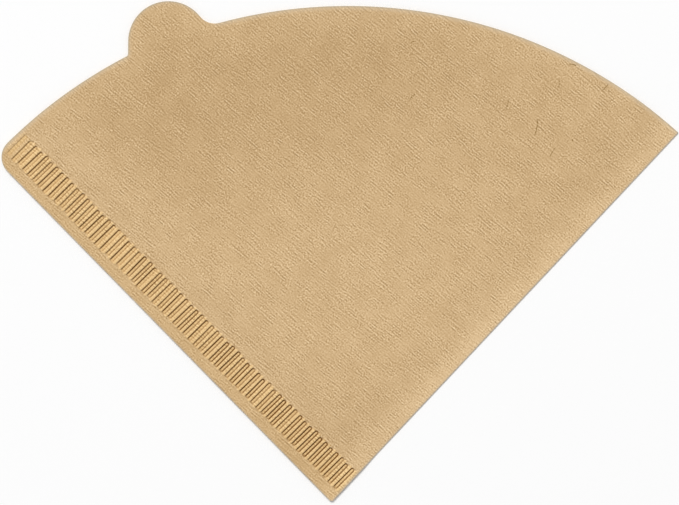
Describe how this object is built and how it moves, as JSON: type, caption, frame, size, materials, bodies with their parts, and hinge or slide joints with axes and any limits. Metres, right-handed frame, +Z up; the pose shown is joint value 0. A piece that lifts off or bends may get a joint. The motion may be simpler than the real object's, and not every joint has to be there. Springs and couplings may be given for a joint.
{
  "type": "cone coffee filter",
  "caption": "Flat cone coffee filter: one sheet of unbleached brown paper folded in two, crimped shut along one side, open along its round mouth, with a half-round pull tab.",
  "frame": {"origin": "on the surface that the filter lies on, under the middle of its bounding box", "axes": "+Z up out of the front layer, +Y from the point of the cone to the middle of its mouth, +X from the crimped seam to the fold"},
  "size_m": [0.1666, 0.1232, 0.0009],
  "materials": {
    "brown_paper": "matt, finely creped"
  },
  "bodies": {
    "root": {"filter_paper": "brown_paper"}
  },
  "joints": []
}
